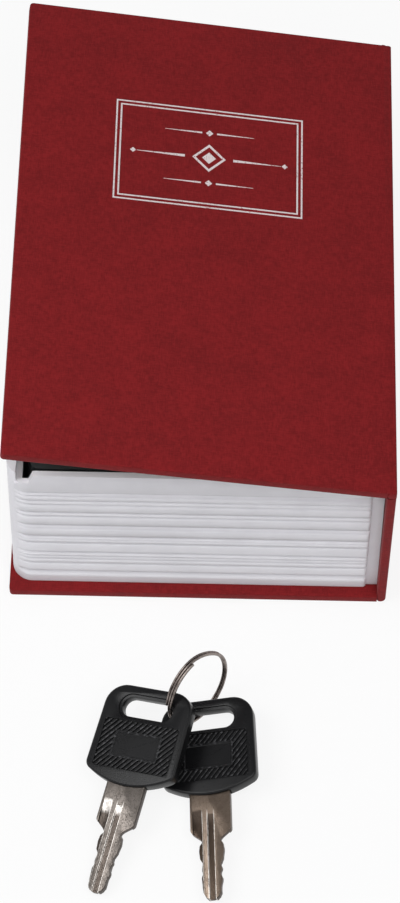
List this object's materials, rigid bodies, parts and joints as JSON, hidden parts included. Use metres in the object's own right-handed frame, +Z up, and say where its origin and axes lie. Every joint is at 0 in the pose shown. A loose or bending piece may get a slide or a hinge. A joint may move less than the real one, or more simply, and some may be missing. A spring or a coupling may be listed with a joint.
{
  "type": "book diversion safe",
  "caption": "Small book-shaped safe: a hinged cloth cover over a moulded page block that hides a keyed steel box, with its keys on a split ring.",
  "frame": {"origin": "on the table, under the middle of the closed book's back cover", "axes": "+Z up through the covers, +Y along the book from tail to head, +X from the fore edge to the spine; the keys lie towards -Y"},
  "size_m": [0.08, 0.1859, 0.0575],
  "materials": {
    "cover_cloth": "embossed red book cloth",
    "board": "grey board",
    "endpaper": "cream lining paper",
    "silver_foil": "stamped silver foil",
    "page_plastic": "white moulded plastic, ribbed like pages",
    "black_steel": "black powder coat",
    "zinc_steel": "bright zinc plate",
    "lock_nickel": "nickel plate",
    "key_nickel": "worn nickel plate",
    "wafer_brass": "plain brass",
    "key_plastic": "black moulded plastic, satin"
  },
  "bodies": {
    "case": {"back_cloth": "cover_cloth", "back_board": "board", "back_endpaper": "endpaper", "spine_cloth": "cover_cloth", "spine_board": "board", "page_block": "page_plastic", "box_tray": "black_steel", "box_rivet_1": "zinc_steel", "box_rivet_2": "zinc_steel", "box_rivet_3": "zinc_steel", "box_rivet_4": "zinc_steel", "hinge_leaf_tray": "black_steel", "hinge_pin": "zinc_steel"},
    "cover_joint": {"hinge_cloth": "cover_cloth"},
    "cover": {"front_cloth": "cover_cloth", "front_board": "board", "front_endpaper": "endpaper", "foil_frame_outer": "silver_foil", "foil_frame_inner": "silver_foil"},
    "door": {"steel_door": "black_steel", "hinge_leaf_door": "black_steel", "lock_housing": "lock_nickel", "lock_nut": "zinc_steel"},
    "plug": {"lock_plug": "lock_nickel", "wafer_1": "wafer_brass", "wafer_2": "wafer_brass", "wafer_3": "wafer_brass", "wafer_4": "wafer_brass", "wafer_5": "wafer_brass", "lock_cam": "zinc_steel", "cam_washer": "zinc_steel", "cam_screw": "zinc_steel"},
    "ring": {"split_ring": "key_nickel"},
    "key_left": {"key_left_head": "key_plastic", "key_left_blade": "key_nickel"},
    "key_right": {"key_right_head": "key_plastic", "key_right_blade": "key_nickel"}
  },
  "joints": [
    {"name": "cover_close", "type": "hinge", "parent": "case", "child": "cover_joint", "pos_m": [0.0392, 0, 0.0438], "axis": [0, 1, 0], "range_deg": [-9.1, 0]},
    {"name": "cover_open", "type": "hinge", "parent": "cover_joint", "child": "cover", "pos_m": [0.0392, 0, 0.0438], "axis": [0, 1, 0], "range_deg": [0, 170.9]},
    {"name": "door_open", "type": "hinge", "parent": "case", "child": "door", "pos_m": [0.0339, 0, 0.0388], "axis": [0, 1, 0], "range_deg": [0, 100]},
    {"name": "plug_turn", "type": "hinge", "parent": "door", "child": "plug", "pos_m": [-0.022, 0, 0.04], "axis": [0, 0, 1], "range_deg": [0, 90]},
    {"name": "key_lift", "type": "slide", "parent": "case", "child": "ring", "axis": [0, 0, 1], "range_m": [0, 0.1]},
    {"name": "key_left_swing", "type": "hinge", "parent": "ring", "child": "key_left", "pos_m": [-0.00502, -0.09013, 0.01026], "axis": [-0.1758, 0.3221, 0.9302], "range_deg": [0, 25]},
    {"name": "key_right_swing", "type": "hinge", "parent": "ring", "child": "key_right", "pos_m": [-0.00065, -0.08918, 0.00238], "axis": [-0.6533, -0.5008, 0.5678], "range_deg": [0, 8]}
  ],
  "couplings": [
    {"joint": "door_open", "follows": "cover_open", "ratio": 0.585}
  ]
}
